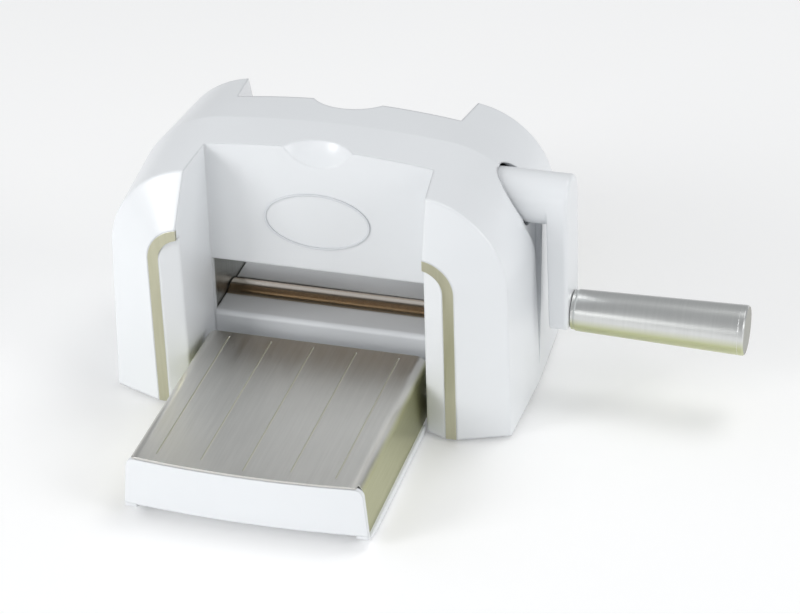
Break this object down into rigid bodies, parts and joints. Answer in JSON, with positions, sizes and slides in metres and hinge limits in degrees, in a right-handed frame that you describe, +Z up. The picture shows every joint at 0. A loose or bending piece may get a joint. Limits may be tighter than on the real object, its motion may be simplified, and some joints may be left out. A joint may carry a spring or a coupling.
{
  "type": "die cutting machine",
  "caption": "Tabletop roller die cutter: arched white body with a plate slot, side crank with turning grip, and hinged platforms at front and back that fold up against the body.",
  "frame": {"origin": "on the table surface, midway between the towers and midway between the front and rear casings", "axes": "+Z up, +X towards the crank side, -Y towards the front, where the plates go in"},
  "size_m": [0.265, 0.274, 0.1156],
  "materials": {
    "white_plastic": "glossy moulded white",
    "trim_metal": "satin olive grey",
    "rubber": "matt",
    "fastener_steel": "plain",
    "sheet_steel": "brushed",
    "emblem_grey": "satin",
    "bearing_bronze": "plain",
    "roller_steel": "ground",
    "gear_steel": "machined",
    "shaft_steel": "ground",
    "grip_silver": "satin silver coating",
    "cover_metal": "finely brushed"
  },
  "bodies": {
    "chassis": {"front_casing": "white_plastic", "rear_casing": "white_plastic", "right_front_trim": "trim_metal", "left_front_trim": "trim_metal", "right_rear_trim": "trim_metal", "left_rear_trim": "trim_metal", "base_pan": "white_plastic", "rubber_feet": "rubber", "casing_screws": "fastener_steel", "front_sill": "white_plastic", "rear_sill": "white_plastic", "front_emblem": "emblem_grey", "right_frame_plate": "sheet_steel", "left_frame_plate": "sheet_steel", "spacer_bars": "sheet_steel", "frame_screws": "fastener_steel", "roller_bushings": "bearing_bronze", "crank_bushings": "bearing_bronze"},
    "lower_roller": {"lower_roller": "roller_steel", "lower_roller_gear": "gear_steel", "lower_roller_clips": "fastener_steel"},
    "upper_roller": {"upper_roller": "roller_steel", "upper_roller_gear": "gear_steel", "drive_gear": "gear_steel", "upper_roller_clips": "fastener_steel"},
    "crank": {"crank_shaft": "shaft_steel", "crank_shaft_clip": "fastener_steel", "crank_pinion": "gear_steel", "crank_arm": "white_plastic", "grip_spindle": "shaft_steel"},
    "grip": {"grip_sleeve": "grip_silver", "grip_base_ring": "grip_silver", "grip_end_cap": "grip_silver"},
    "front_platform": {"front_platform_tray": "white_plastic", "front_platform_cover": "cover_metal", "front_hinge_pins": "fastener_steel", "front_platform_pads": "rubber"},
    "rear_platform": {"rear_platform_tray": "white_plastic", "rear_platform_cover": "cover_metal", "rear_hinge_pins": "fastener_steel", "rear_platform_pads": "rubber"}
  },
  "joints": [
    {"name": "upper_roller_spin", "type": "hinge", "parent": "chassis", "child": "upper_roller", "pos_m": [0, 0, 0.057], "axis": [1, 0, 0], "continuous": true},
    {"name": "lower_roller_spin", "type": "hinge", "parent": "chassis", "child": "lower_roller", "pos_m": [0, 0, 0.024], "axis": [1, 0, 0], "continuous": true},
    {"name": "crank_spin", "type": "hinge", "parent": "chassis", "child": "crank", "pos_m": [0, 0, 0.092], "axis": [1, 0, 0], "continuous": true},
    {"name": "grip_spin", "type": "hinge", "parent": "crank", "child": "grip", "pos_m": [0.14, 0, 0.04], "axis": [1, 0, 0], "continuous": true},
    {"name": "front_platform_fold", "type": "hinge", "parent": "chassis", "child": "front_platform", "pos_m": [0, -0.038, 0.0145], "axis": [-1, 0, 0], "range_deg": [0, 90]},
    {"name": "rear_platform_fold", "type": "hinge", "parent": "chassis", "child": "rear_platform", "pos_m": [0, 0.038, 0.0145], "axis": [1, 0, 0], "range_deg": [0, 90]}
  ],
  "couplings": [
    {"joint": "lower_roller_spin", "follows": "upper_roller_spin", "ratio": -1},
    {"joint": "crank_spin", "follows": "upper_roller_spin", "ratio": -3}
  ]
}
